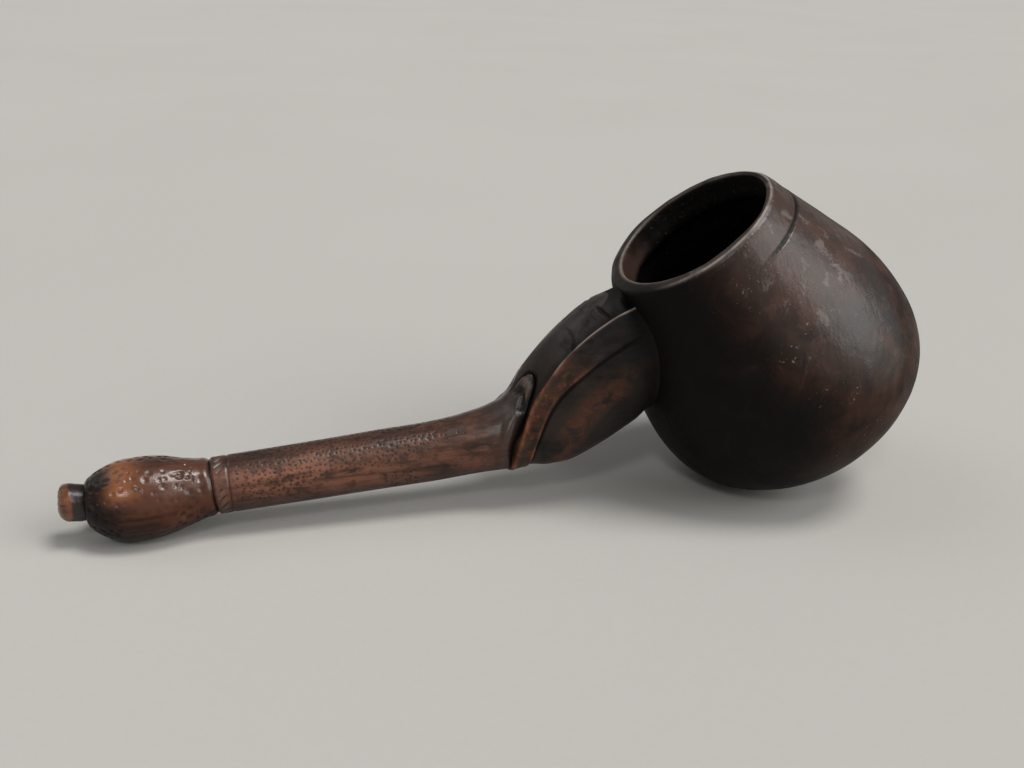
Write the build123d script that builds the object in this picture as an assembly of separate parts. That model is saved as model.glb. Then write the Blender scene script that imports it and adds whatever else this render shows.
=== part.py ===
from build123d import *
import os
from math import cos, radians, sin, tan

# Long-handled carved wooden dipper, lying at rest on a table: the bowl and the end knob touch it.
# Millimetres and degrees. +Z is up, +X runs from the end knob towards the bowl, and the object is
# symmetric about the XZ plane. Every piece is drawn with the middle of the bowl's widest ring above
# X = 0 and the table at Z = 0; at the end the set is moved so that the origin is halfway along it.

# ---- bowl, in its own frame: +Z along the bowl's axis, out of the mouth, Z = 0 at the widest ring
BOWL_RADIUS = 60.0
BOWL_LEAN = 37.2          # of the bowl's axis towards the handle
BELLY_DEPTH = 45.7        # widest ring to the outside of the bottom
BELLY_SQUARENESS = 2.26   # superellipse exponent: 2 is an ellipse, more is flatter below
SHOULDER_RADIUS = 96.9    # of the arc that turns the wall in above the widest ring
SHOULDER_TURN = 21.7      # how far that arc turns before the wall runs straight to the mouth
MOUTH_HEIGHT = 76.4       # widest ring to the mouth's plane
LIP_WIDTH = 5.2           # across the mouth's edge
LIP_ROUND = 1.5
WALL = 7.5
THROAT_DEPTH = 12.0       # thick collar inside the mouth, above the hollow
THROAT_TAPER = 0.6        # how much smaller the throat is at its lower end
UNDERCUT_LENGTH = 4.0     # of the slope from the throat out to the wider hollow
RING_GROOVE_DROP = 11.6   # incised line below the mouth
RING_GROOVE_RADIUS = 0.9
WEAR_DEPTH = 0.6          # worn flat where the belly meets the table

# ---- handle: each piece is carved by eye, so it is a loft through sections with no one true axis.
# A section is (x, z, backward lean of its plane, half height, half width), from left to right.
BUTTON_SECTIONS = (
    (-297.4, 18.1, -5.0, 4.6, 4.6),
    (-296.5, 18.0, -4.8, 6.1, 6.1),
    (-294.4, 17.8, -4.2, 7.1, 7.1),
    (-292.0, 17.6, -3.2, 7.2, 7.2),
    (-289.5, 17.3, -2.0, 6.7, 6.7),
    (-287.0, 17.0, 0.0, 6.2, 6.2),
)
KNOB_SECTIONS = (
    (-287.0, 17.0, 0.0, 7.4, 7.4),
    (-284.8, 16.7, 0.0, 10.5, 10.5),
    (-276.0, 16.3, 0.0, 15.2, 15.2),
    (-267.0, 16.3, 0.0, 16.5, 16.5),
    (-258.0, 16.8, 1.0, 15.6, 15.6),
    (-249.0, 17.8, 3.0, 12.9, 12.9),
    (-240.7, 18.7, 4.3, 10.7, 10.7),
)
SHAFT_SECTIONS = (
    (-240.7, 18.7, 4.3, 11.3, 11.3),
    (-215.0, 20.5, 4.3, 11.4, 11.4),
    (-175.0, 23.4, 4.3, 11.8, 11.8),
    (-149.0, 25.4, 5.0, 12.2, 12.2),
    (-136.0, 27.2, 7.0, 12.8, 12.9),
    (-124.5, 29.2, 8.0, 14.1, 14.4),
)
NECK_SECTIONS = (
    (-124.5, 29.2, 8.0, 14.1, 14.4),
    (-120.4, 30.4, 6.0, 15.0, 15.2),
    (-114.2, 34.9, 7.5, 18.6, 16.4),
    (-107.3, 39.6, 7.5, 23.2, 17.6),
    (-99.4, 44.2, 7.8, 27.0, 18.7),
    (-87.3, 52.4, 8.8, 29.3, 20.0),
    (-68.6, 64.0, 18.4, 26.8, 20.8),
    (-52.0, 73.0, 18.4, 23.8, 19.5),
)
# The raised band, seen from the side: its upper and lower edges from the neck's underside to the rim
BAND_UPPER_EDGE = ((-121, 6), (-121.2, 26), (-113.3, 48.4), (-100.6, 65.8), (-81, 81.6), (-55, 92))
BAND_LOWER_EDGE = ((-113.4, 6), (-111.6, 33), (-104.4, 50.4), (-93.1, 61.3), (-77.7, 72.2), (-50, 85))
BAND_HEIGHT = 1.2

# ---- hidden joinery
TENON_RADIUS = 7.5        # shaft into neck
TENON_LENGTH = 26.0
PEG_RADIUS = 4.5          # the button's stem, through the knob and into the shaft
PEG_LENGTH = 76.0
PEG_RISE = 2.6
DOWEL_RADIUS = 4.0        # neck to bowl
DOWEL_IN_WALL = 5.0
DOWEL_IN_NECK = 16.0
DOWEL_SPREAD = 13.0       # each side of the middle of the neck's seat
JOINT_GAP = 0.1           # radial room for glue round every tenon, peg and dowel


def belly_reach(angle):
    """How far the belly reaches from the middle of its widest ring, angle below the ring's plane."""
    power, a = 2 / BELLY_SQUARENESS, radians(angle)
    turns = [radians(t) for t in range(1, 90)]
    return max(
        BOWL_RADIUS * sin(t) ** power * cos(a) + BELLY_DEPTH * cos(t) ** power * sin(a) for t in turns
    )


BOWL_CENTRE_HEIGHT = belly_reach(90 - BOWL_LEAN) - WEAR_DEPTH
MIDDLE_OF_LENGTH = (BUTTON_SECTIONS[0][0] + belly_reach(BOWL_LEAN)) / 2


def bowl_wall(radius, depth, shoulder, top):
    """Outline from the bottom of the axis up to height top, and the radius that it has there."""
    power = 2 / BELLY_SQUARENESS
    turns = [radians(90 * i / 8) for i in range(9)]
    belly = [(radius * sin(t) ** power, -depth * cos(t) ** power) for t in turns]
    turn = radians(SHOULDER_TURN)
    bend = (radius - shoulder * (1 - cos(turn)), shoulder * sin(turn))
    top_radius = bend[0] - (top - bend[1]) * tan(turn)
    lower = Spline(*belly, tangents=((1, 0), (0, 1)))
    arc = CenterArc((radius - shoulder, 0), shoulder, 0, SHOULDER_TURN)
    return [lower, arc, Line(bend, (top_radius, top))], top_radius


def side_face(edges):
    """Face inside a closed outline drawn as (x, z) in the XZ plane."""
    return make_face([Plane.XZ * e for e in edges])


def polyline(*points):
    return [Line(a, b) for a, b in zip(points, points[1:])]


def in_bowl_place(shape):
    """Moves a shape from the bowl's own frame to its place over the table."""
    return Pos(0, 0, BOWL_CENTRE_HEIGHT) * Rot(0, -BOWL_LEAN, 0) * shape


def bowl_form():
    """The bowl's outer form as a plain solid, in its own frame, and the mouth's outer radius."""
    wall, mouth_radius = bowl_wall(BOWL_RADIUS, BELLY_DEPTH, SHOULDER_RADIUS, MOUTH_HEIGHT)
    closing = polyline((mouth_radius, MOUTH_HEIGHT), (0, MOUTH_HEIGHT), (0, -BELLY_DEPTH))
    return revolve(side_face(wall + closing), Axis.Z), mouth_radius


def bowl_hollow(mouth_radius):
    """The space inside: a short throat in the mouth, undercut to the wide hollow."""
    throat_low = MOUTH_HEIGHT - THROAT_DEPTH
    hollow_top = throat_low - UNDERCUT_LENGTH
    wall, top_radius = bowl_wall(
        BOWL_RADIUS - WALL, BELLY_DEPTH - WALL, SHOULDER_RADIUS - WALL, hollow_top
    )
    throat_radius = mouth_radius - LIP_WIDTH
    above = MOUTH_HEIGHT + WALL
    closing = polyline(
        (top_radius, hollow_top),
        (throat_radius - THROAT_TAPER, throat_low),
        (throat_radius, MOUTH_HEIGHT),
        (throat_radius, above),
        (0, above),
        (0, WALL - BELLY_DEPTH),
    )
    return revolve(side_face(wall + closing), Axis.Z)


def table_space():
    """Everything below the table's surface."""
    return Pos(0, 0, -50) * Box(1000, 400, 100)


def section_plane(x, z, lean):
    """Plane across the handle, +Z along the handle towards the bowl and X to the side."""
    a = radians(lean)
    return Plane(origin=(x, 0, z), x_dir=(0, 1, 0), z_dir=(cos(a), 0, sin(a)))


def carved(sections, extra=0.0):
    """Loft through oval sections, each grown by extra."""
    return loft(
        [
            section_plane(x, z, lean) * Ellipse(half_width + extra, half_height + extra)
            for x, z, lean, half_height, half_width in sections
        ]
    )


def rod(radius, length):
    """Round bar standing on its frame's origin."""
    return Cylinder(radius, length, align=(Align.CENTER, Align.CENTER, Align.MIN))


def dowel_places():
    """Frames at the inner ends of the two dowels that hold the neck, +Z into the neck."""
    x, z = NECK_SECTIONS[-2][:2]
    away = radians(SHOULDER_TURN - BOWL_LEAN)
    out_x, out_z = -cos(away), sin(away)
    return [
        Plane(
            origin=(
                x + side * DOWEL_SPREAD * out_z - DOWEL_IN_WALL * out_x,
                0,
                z - side * DOWEL_SPREAD * out_x - DOWEL_IN_WALL * out_z,
            ),
            x_dir=(0, 1, 0),
            z_dir=(out_x, 0, out_z),
        )
        for side in (1, -1)
    ]


def make_bowl(form, mouth_radius, dowel_holes):
    bowl = form - bowl_hollow(mouth_radius)
    lip = bowl.edges().filter_by(GeomType.CIRCLE).group_by(Axis.Z)[-1]
    bowl = fillet(lip, LIP_ROUND)
    groove_radius = mouth_radius + RING_GROOVE_DROP * tan(radians(SHOULDER_TURN))
    ring = Torus(groove_radius + RING_GROOVE_RADIUS / 3, RING_GROOVE_RADIUS)
    bowl -= Pos(0, 0, MOUTH_HEIGHT - RING_GROOVE_DROP) * ring
    return in_bowl_place(bowl) - table_space() - dowel_holes


def make_neck(form, tenon_hole, dowel_holes):
    edges = [Spline(*BAND_UPPER_EDGE), Spline(*BAND_LOWER_EDGE)]
    ends = [Line(edges[0] @ i, edges[1] @ i) for i in (0, 1)]
    strip = extrude(side_face(edges + ends), 60, both=True)
    band = carved(NECK_SECTIONS, BAND_HEIGHT) & strip
    return carved(NECK_SECTIONS) + band - in_bowl_place(form) - tenon_hole - dowel_holes


def build():
    form, mouth_radius = bowl_form()
    dowel_length = DOWEL_IN_WALL + DOWEL_IN_NECK
    dowels = [p * rod(DOWEL_RADIUS, dowel_length) for p in dowel_places()]
    dowel_holes = [p * rod(DOWEL_RADIUS + JOINT_GAP, dowel_length) for p in dowel_places()]
    neck_end = section_plane(*SHAFT_SECTIONS[-1][:3])
    tenon = neck_end * rod(TENON_RADIUS, TENON_LENGTH)
    tenon_hole = neck_end * rod(TENON_RADIUS + JOINT_GAP, TENON_LENGTH + 1)
    peg_start = section_plane(*BUTTON_SECTIONS[-1][:2], PEG_RISE)
    stem = peg_start * rod(PEG_RADIUS, PEG_LENGTH)
    peg_hole = peg_start.offset(-1) * rod(PEG_RADIUS + JOINT_GAP, PEG_LENGTH + 2)
    return {
        "bowl": make_bowl(form, mouth_radius, dowel_holes),
        "neck_bracket": make_neck(form, tenon_hole, dowel_holes),
        "handle_shaft": carved(SHAFT_SECTIONS) + tenon - peg_hole,
        "end_knob": carved(KNOB_SECTIONS) - peg_hole - table_space(),
        "end_peg": carved(BUTTON_SECTIONS) + stem,
        "neck_dowels": Compound(dowels),
    }


to_origin = Pos(-MIDDLE_OF_LENGTH, 0, 0)
os.makedirs("parts", exist_ok=True)
for name, piece in build().items():
    export_step(to_origin * piece, f"parts/{name}.step")
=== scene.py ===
import math

import bpy
import numpy as np
from mathutils import Matrix, Vector


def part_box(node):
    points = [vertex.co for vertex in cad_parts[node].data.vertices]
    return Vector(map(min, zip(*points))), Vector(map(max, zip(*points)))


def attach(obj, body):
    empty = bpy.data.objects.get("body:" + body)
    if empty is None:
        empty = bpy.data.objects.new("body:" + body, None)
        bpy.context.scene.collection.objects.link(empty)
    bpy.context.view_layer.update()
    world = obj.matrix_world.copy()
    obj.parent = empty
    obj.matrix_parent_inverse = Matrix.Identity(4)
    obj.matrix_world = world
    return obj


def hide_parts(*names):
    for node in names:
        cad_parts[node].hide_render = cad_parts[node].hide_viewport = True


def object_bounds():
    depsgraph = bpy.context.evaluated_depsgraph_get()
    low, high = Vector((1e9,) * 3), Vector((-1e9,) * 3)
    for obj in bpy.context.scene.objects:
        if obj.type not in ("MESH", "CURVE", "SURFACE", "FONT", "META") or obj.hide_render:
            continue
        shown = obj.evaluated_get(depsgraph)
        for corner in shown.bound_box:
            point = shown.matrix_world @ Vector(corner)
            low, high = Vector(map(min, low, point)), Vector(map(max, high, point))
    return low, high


# Looks of the carved wooden dipper: bowl, carved neck, stippled shaft, dimpled knob and button.
# Shapes are worked out in millimetres around the middle of the bowl's widest ring, with the table
# at Z = 0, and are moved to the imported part's frame at the end.

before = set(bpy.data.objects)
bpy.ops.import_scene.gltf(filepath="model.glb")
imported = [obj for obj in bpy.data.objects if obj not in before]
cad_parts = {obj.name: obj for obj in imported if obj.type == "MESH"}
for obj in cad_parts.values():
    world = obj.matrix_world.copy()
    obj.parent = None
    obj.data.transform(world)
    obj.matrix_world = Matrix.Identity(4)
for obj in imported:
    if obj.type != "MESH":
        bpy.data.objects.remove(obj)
start_low, start_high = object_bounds()

MM = 0.001  # in metres

# ---------------- driving dimensions, mm and degrees
BOWL_RADIUS, BOWL_LEAN = 60.0, 37.2
BELLY_DEPTH, BELLY_SQUARENESS = 45.7, 2.26
SHOULDER_RADIUS, SHOULDER_TURN = 96.9, 21.7
MOUTH_HEIGHT, LIP_WIDTH, WALL = 76.4, 5.2, 7.5
THROAT_DEPTH, UNDERCUT_LENGTH = 12.0, 4.0
RING_GROOVE_DROP = 11.6
WEAR_DEPTH = 0.6
# the lip's outline, as steps outwards and up from the mouth's edge, the throat's top and its foot
LIP_OUTER = ((1.1, -2.9), (0.55, -1.8), (-0.25, -0.95), (-1.5, -0.35), (-3.0, -0.05), (-4.3, 0))
LIP_INNER = ((0.25, -0.25), (0, -0.9), (-0.05, -2.0), (-0.2, -6.0))
THROAT_FOOT = ((-0.6, 0.8), (-0.3, -0.3), (1.6, -1.2))
LIP_START, CLOSE_POINTS = 3.3, 17

# the neck's end in the bowl's wall, its grain's rise, the notch under the rim, where the lobe turns pale
NECK_SUNK, NECK_RISE, NOTCH_HEIGHT, LOBE_PALE = 1.3, 52, 88.0, (-105, -95)
GRIP_RADIUS, SHAFT_RING, DOTS_FADE, LOW_DOTS = 12.0, 6.6, (-152, -134), -166
DOT_SPACING, DIMPLE_SPACING, DIMPLE_SQUASH = 2.0, 3.9, 1.15
BUTTON_WAIST, KNOB_BURNT, KNOB_AMBER = (-289.2, -287.2), (-283, -273), -274
# where the hidden ends of shaft and neck close, inside the joint
SHAFT_TIP = np.array([-117.2, 0, 32.0])
NECK_TIP = np.array([-117.0, 0, 32.5])

# sections: x, z, backward lean, then the radius, or half height and half width
BUTTON = (
    (-297.2, 18.1, -5.0, 4.4),
    (-296.7, 18.1, -4.8, 5.6),
    (-295.7, 18.0, -4.6, 6.7),
    (-294.2, 17.8, -4.2, 7.3),
    (-292.2, 17.6, -3.4, 7.4),
    (-289.8, 17.3, -2.0, 7.2),
    (-287.6, 17.1, -0.8, 7.0),
    (-284.6, 17.0, 0.0, 6.8),
)
KNOB = (
    (-287.2, 17.0, 0.0, 7.0),
    (-286.5, 16.9, 0.0, 8.6),
    (-284.6, 16.6, 0.0, 10.7),
    (-281.0, 16.4, 0.0, 13.1),
    (-276.0, 16.4, 0.0, 15.2),
    (-267.0, 16.4, 0.0, 16.3),
    (-258.0, 16.8, 1.5, 15.5),
    (-249.0, 17.7, 4.5, 13.1),
    (-243.6, 18.4, 6.0, 11.7),
    (-240.7, 18.7, 6.5, 11.2),
    (-239.6, 18.8, 6.5, 10.5),
)
HANDLE = (
    (-239.7, 18.8, 6.5, 11.3, 11.3),
    (-215.0, 20.5, 4.3, 11.4, 11.4),
    (-175.0, 23.4, 4.3, 11.8, 11.8),
    (-149.0, 25.4, 5.0, 12.2, 12.2),
    (-136.0, 27.2, 7.0, 12.8, 12.9),
    (-124.5, 29.2, 8.0, 14.1, 14.4),
    (-120.4, 30.4, 6.0, 15.0, 15.2),
    (-114.2, 34.9, 7.5, 18.6, 16.4),
    (-107.3, 39.6, 7.5, 23.2, 17.6),
    (-99.4, 44.2, 7.8, 27.0, 18.7),
    (-87.3, 52.4, 8.8, 29.3, 20.0),
    (-68.6, 64.0, 18.4, 26.8, 20.8),
    (-52.0, 73.0, 18.4, 23.8, 19.5),
)
# cracks in the button's end: angle and width, radians
BUTTON_CRACKS = ((0.4, 0.07), (1.7, 0.1), (2.9, 0.06), (4.35, 0.11), (5.35, 0.08))
# where the shaft ends against the neck: angle up from the side, x of the section there
SEAM = (
    (-90, -123.7), (-72, -123.1), (-45, -122.6), (-20, -122.4), (-4, -121.8), (10, -120.4),
    (20, -119.2), (32, -117.6), (44, -114.9), (54, -112.0), (63, -110.2), (72, -109.9),
    (79, -110.9), (84, -113.4), (86.5, -115.8), (88.5, -117.8), (90, -118.6),
)
# the curled tip of the shaft's tongue: ridge and hollow as section position and angle up from the side
CURL_RIDGE = (
    (-118.6, 88), (-116.0, 87), (-113.9, 84), (-112.5, 78), (-111.9, 69), (-112.4, 60), (-114.2, 52),
)
CURL_HOLLOW = ((-116.0, 76), (-114.8, 71), (-114.8, 63), (-115.9, 56), (-117.4, 49))
# carved lines on the neck, seen from the side as x, z
BAND_UPPER = (
    (-121.2, 8), (-121.5, 17), (-121.2, 26), (-118.5, 34.8), (-113.3, 48.4), (-107.3, 57.4),
    (-100.6, 65.8), (-95.4, 70.9), (-88.2, 76.9), (-81.0, 81.6), (-72.2, 85.8), (-60, 90),
)
BAND_LOWER = (
    (-113.2, 8), (-113.9, 22.6), (-111.4, 35.0), (-108.4, 43.5), (-104.4, 50.4), (-98.8, 56.4),
    (-93.1, 61.3), (-88.4, 65.1), (-84.4, 67.9), (-77.7, 72.2), (-60, 81),
)
# small incised marks on the neck's upper lobe, on both sides: strength, then x, distance from the middle, z
VEINS = (
    (1.0, ((-86.6, 4.8, 85.4), (-85.0, 7.6, 83.8), (-83.0, 10.6, 82.0))),
    (0.45, ((-99.6, 1.5, 76.2), (-97.8, 5.4, 75.6), (-97.0, 9.3, 73.0), (-97.8, 12.0, 69.6))),
    (0.4, ((-91.2, 7.4, 80.0), (-89.4, 6.8, 81.6), (-87.6, 5.6, 83.4))),
    (0.35, ((-94.4, 9.4, 75.6), (-92.6, 8.8, 77.6), (-90.6, 8.6, 79.4))),
)


# ---------------- arithmetic helpers
def unit(x):
    return np.clip(x, 0, 1)


def ramp(low, high, x):
    """0 below low, 1 above high, smooth between."""
    t = unit((x - low) / (high - low))
    return t * t * (3 - 2 * t)


def bump_at(x, middle, width):
    """Rounded bump: 1 at the middle, 0 one width away."""
    t = unit(1 - np.abs(x - middle) / width)
    return t * t * (3 - 2 * t)


def bell(x, width):
    """1 where x is 0, falling off smoothly in about one width."""
    return np.exp(-((x / width) ** 2))


def scatter_value(cells, seed):
    """Repeatable pseudo-random number 0 to 1 for each row of whole numbers."""
    n = cells.astype(np.int64) @ np.array([73856093, 19349663, 83492791][: cells.shape[-1]])
    n = (n + 7919 * seed) & 0xFFFFFFFF
    n = ((n ^ (n >> 13)) * 1274126177) & 0xFFFFFFFF
    n = ((n ^ (n >> 16)) * 668265263) & 0xFFFFFFFF
    return ((n ^ (n >> 15)) & 0xFFFF) / 65535.0


def noise(points, size, seed, squash=(1, 1, 1)):
    """Smooth noise, -1 to 1, with features about as large as size, and longer where squash is small."""
    q = points * np.array(squash) / size + 31.7
    cell = np.floor(q).astype(np.int64)
    f = q - cell
    f = f * f * (3 - 2 * f)
    total = np.zeros(points.shape[:-1])
    for corner in np.ndindex(2, 2, 2):
        step = np.array(corner[::-1])
        share = np.prod(np.where(step == 1, f, 1 - f), axis=-1)
        total += share * scatter_value(cell + step, seed)
    return 2 * total - 1


def along(keys, values, at):
    """Smooth curve through rows of values given at rising keys."""
    keys, values, at = (np.asarray(v, float) for v in (keys, values, at))
    slope = np.gradient(values, keys, axis=0)
    i = np.clip(np.searchsorted(keys, at, side="right") - 1, 0, len(keys) - 2)
    h = keys[i + 1] - keys[i]
    t = unit((at - keys[i]) / h)
    if values.ndim > 1:
        h, t = h[..., None], t[..., None]
    a, b = values[i], values[i + 1]
    rise = (3 - 2 * t) * t * t
    bend_a = t * (1 - t) ** 2 * h * slope[i]
    bend_b = t * t * (t - 1) * h * slope[i + 1]
    return a + (b - a) * rise + bend_a + bend_b


def full_turn(count):
    return np.linspace(0, 2 * np.pi, count, endpoint=False)


def distances(line):
    """Distance along a line to each of its points."""
    return np.r_[0, np.cumsum(np.linalg.norm(np.diff(line, axis=0), axis=1))]


def curve(points, count=160):
    """Smooth line through points, evenly spaced."""
    p = np.asarray(points, float)
    keys = distances(p)
    return along(keys, p, np.linspace(0, keys[-1], count))


def side_angle(theta):
    """Angle up from the side, -90 to 90 degrees, at angle theta round a section."""
    return np.degrees(np.arcsin(np.clip(np.sin(theta), -1, 1)))


def line_distance(points, line):
    """Signed distance in the plane from each point to a line, and how far along the line, 0 to 1.
    Left of the line's direction is positive."""
    flat = points.reshape(-1, 2)
    best = np.full(len(flat), 1e9)
    side = np.zeros(len(flat))
    place = np.zeros(len(flat))
    for i, (a, b) in enumerate(zip(line, line[1:])):
        d = b - a
        t = unit((flat - a) @ d / (d @ d))
        gap = flat - (a + t[:, None] * d)
        far = np.hypot(gap[:, 0], gap[:, 1])
        near = far < best
        best[near] = far[near]
        side[near] = np.sign(d[0] * gap[near, 1] - d[1] * gap[near, 0])
        place[near] = (i + t[near]) / (len(line) - 1)
    shape = points.shape[:-1]
    return (best * side).reshape(shape), place.reshape(shape)


def space_distance(points, line):
    """Distance in space from each point to the nearest point of a finely divided line."""
    flat = points.reshape(-1, 3)
    best = np.full(len(flat), 1e9)
    for start in range(0, len(line), 32):
        part = line[start : start + 32]
        gap = np.linalg.norm(flat[:, None] - part[None], axis=2).min(1)
        best = np.minimum(best, gap)
    return best.reshape(points.shape[:-1])


def dots(u, v, spacing, jitter, seed, squash=1.0):
    """Distance to the nearest of a set of staggered, slightly scattered dots, and a number 0 to 1
    that goes with that dot."""
    rows = np.floor(v / spacing).astype(np.int64)
    best = np.full(u.shape, 1e9)
    which = np.zeros(u.shape)
    for dr in (-1, 0, 1):
        row = rows + dr
        shift = 0.5 * (row & 1)
        columns = np.floor(u / spacing - shift).astype(np.int64)
        for dc in (-1, 0, 1):
            column = columns + dc
            cell = np.stack([column, row], -1)
            a, b = scatter_value(cell, seed), scatter_value(cell, seed + 1)
            du = u - (column + 0.5 + shift + (a - 0.5) * jitter) * spacing
            dv = v - (row + 0.5 + (b - 0.5) * jitter) * spacing
            gap = np.hypot(du, dv * squash)
            near = gap < best
            best = np.where(near, gap, best)
            which = np.where(near, scatter_value(cell, seed + 2), which)
    return best, which


# ---------------- the bowl's outline
def belly_reach(angle):
    """How far the belly reaches from the middle of its widest ring, angle degrees below that ring."""
    power, a = 2 / BELLY_SQUARENESS, math.radians(angle)
    t = np.radians(np.arange(1, 90))
    reach = BOWL_RADIUS * np.sin(t) ** power * math.cos(a)
    return float((reach + BELLY_DEPTH * np.cos(t) ** power * math.sin(a)).max())


CENTRE_HEIGHT = belly_reach(90 - BOWL_LEAN) - WEAR_DEPTH
LEAN = math.radians(BOWL_LEAN)
AXIS_X = np.array([math.cos(LEAN), 0, math.sin(LEAN)])
AXIS_Z = np.array([-math.sin(LEAN), 0, math.cos(LEAN)])
TURN = math.radians(SHOULDER_TURN)
BEND_R = BOWL_RADIUS - SHOULDER_RADIUS * (1 - math.cos(TURN))
BEND_Z = SHOULDER_RADIUS * math.sin(TURN)
MOUTH_RADIUS = BEND_R - (MOUTH_HEIGHT - BEND_Z) * math.tan(TURN)


def wall_line(radius, depth, shoulder, top):
    """Radius and height from the bottom of the axis up to height top."""
    power = 2 / BELLY_SQUARENESS
    t = np.radians(np.linspace(0, 90, 400))
    belly = np.stack([radius * np.sin(t) ** power, -depth * np.cos(t) ** power], 1)
    t = np.linspace(0, TURN, 80)[1:]
    arc = np.stack([radius - shoulder * (1 - np.cos(t)), shoulder * np.sin(t)], 1)
    end = arc[-1] + (top - arc[-1][1]) * np.array([-math.tan(TURN), 1])
    return np.vstack([belly, arc, np.linspace(arc[-1], end, 60)[1:]])


OUTLINE = wall_line(BOWL_RADIUS, BELLY_DEPTH, SHOULDER_RADIUS, MOUTH_HEIGHT)


def spaced(line, step):
    """The same line with points about step apart. Step may be a function of the distance along the
    line and its whole length."""
    keys = distances(line)
    at = [0.0]
    while at[-1] < keys[-1]:
        at.append(at[-1] + (step(at[-1], keys[-1]) if callable(step) else step))
    at = np.array(at) * keys[-1] / at[-1]
    return np.stack([np.interp(at, keys, line[:, i]) for i in (0, 1)], 1)


def to_bowl(points):
    """Places over the table to the bowl's own frame."""
    q = points - np.array([0, 0, CENTRE_HEIGHT])
    return np.stack([q @ AXIS_X, q[..., 1], q @ AXIS_Z], -1)


def from_bowl(points):
    """Places in the bowl's own frame to places over the table."""
    x, y, z = points[..., 0:1], points[..., 1:2], points[..., 2:3]
    return x * AXIS_X + y * np.array([0, 1, 0]) + z * AXIS_Z + np.array([0, 0, CENTRE_HEIGHT])


def bowl_depth(points):
    """How deep each point lies inside the bowl's outer form, negative outside."""
    q = to_bowl(points)
    wall = np.interp(q[..., 2], OUTLINE[:, 1], OUTLINE[:, 0], left=0, right=0)
    return (wall - np.hypot(q[..., 0], q[..., 1])) * math.cos(TURN)


# ---------------- meshes
bowl_low, bowl_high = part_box("bowl")
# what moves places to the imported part's frame, in mm
SHIFT = Vector((
    bowl_high.x / MM - belly_reach(BOWL_LEAN),
    (bowl_low.y + bowl_high.y) / 2 / MM,
    bowl_low.z / MM,
))


def put(name, data):
    """A new object in the scene."""
    thing = bpy.data.objects.new(name, data)
    bpy.context.scene.collection.objects.link(thing)
    return thing


def grid_mesh(name, rings, marks):
    """Closed mesh from rings (count, around, 3), with a point in the middle of each end. Marks are
    values at the rings' points, stored for the materials."""
    count, around = rings.shape[:2]
    points = np.vstack([rings.reshape(-1, 3), rings[0].mean(0), rings[-1].mean(0)])
    i, j = np.meshgrid(np.arange(count - 1), np.arange(around), indexing="ij")
    k = (j + 1) % around
    here, after = i * around, (i + 1) * around
    quads = np.stack([here + j, here + k, after + k, after + j], -1).reshape(-1, 4)
    last = (count - 1) * around
    fans = np.vstack([
        np.stack([np.full(around, count * around), k[0], j[0]], -1),
        np.stack([np.full(around, count * around + 1), last + j[0], last + k[0]], -1),
    ])
    # turn all faces outwards: the volume that they enclose has to be positive
    triangles = np.vstack([quads[:, :3], quads[:, [0, 2, 3]], fans])
    a, b, c = (points[triangles[:, n]] for n in range(3))
    if (a * np.cross(b, c)).sum() < 0:
        quads, fans = quads[:, ::-1], fans[:, ::-1]
    mesh = bpy.data.meshes.new(name)
    mesh.vertices.add(len(points))
    mesh.vertices.foreach_set("co", ((points + np.array(SHIFT)) * MM).ravel())
    mesh.loops.add(quads.size + fans.size)
    mesh.loops.foreach_set("vertex_index", np.r_[quads.ravel(), fans.ravel()])
    mesh.polygons.add(len(quads) + len(fans))
    starts = np.r_[np.arange(len(quads)) * 4, quads.size + np.arange(len(fans)) * 3]
    mesh.polygons.foreach_set("loop_start", starts)
    mesh.polygons.foreach_set("use_smooth", np.ones(len(starts), bool))
    mesh.update(calc_edges=True)
    mesh.validate()
    for key, values in marks.items():
        layer = mesh.attributes.new(key, "FLOAT", "POINT")
        layer.data.foreach_set("value", np.r_[values.ravel(), values[0].mean(), values[-1].mean()])
    return put(name, mesh)


def section_point(sections, s, theta):
    """Points on a carved form, at section positions s and angles theta round the section."""
    table = np.asarray(sections, float)
    row = along(table[:, 0], table, s)
    lean = np.radians(row[..., 2])
    up = np.stack([-np.sin(lean), np.zeros_like(lean), np.cos(lean)], -1)
    tall, wide = row[..., 3:4], row[..., -1:]
    middle = np.stack([s, np.zeros_like(s), row[..., 1]], -1)
    side = np.array([0, 1.0, 0])
    return middle + up * tall * np.sin(theta)[..., None] + side * wide * np.cos(theta)[..., None]


def normals(rings):
    """Outward directions of a grid of rings, closed the second way."""
    across = np.roll(rings, -1, 1) - np.roll(rings, 1, 1)
    down = np.gradient(rings, axis=0)
    n = np.cross(across, down)
    n /= np.linalg.norm(n, axis=-1, keepdims=True) + 1e-12
    middle = rings.mean(1, keepdims=True)
    if ((rings - middle) * n).sum() < 0:
        n = -n
    return n


def drawn_in(ring, target, shares, shift=0.0):
    """Rings between a ring and a point, one for each share of the way, moved along X by shift."""
    return np.array([ring * (1 - t) + target * t + np.array([shift, 0, 0]) for t in shares])


def loft(sections, s, theta):
    """A carved form at section positions s: its angles, points and outward directions."""
    angle = theta + 0 * s
    rings = section_point(sections, s, angle)
    return angle, rings, normals(rings)


def capped_mesh(name, before, rings, after, marks, front=None):
    """Closed mesh from rings with more rings at both ends. The marks of the end rings carry on over
    those, but are front on the ones before, if that is given."""
    for key, values in marks.items():
        first = np.repeat(values[:1], len(before), 0)
        if front is not None:
            first = np.full_like(first, front)
        marks[key] = np.concatenate([first, values, np.repeat(values[-1:], len(after), 0)])
    return grid_mesh(name, np.concatenate([before, rings, after]), marks)


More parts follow.
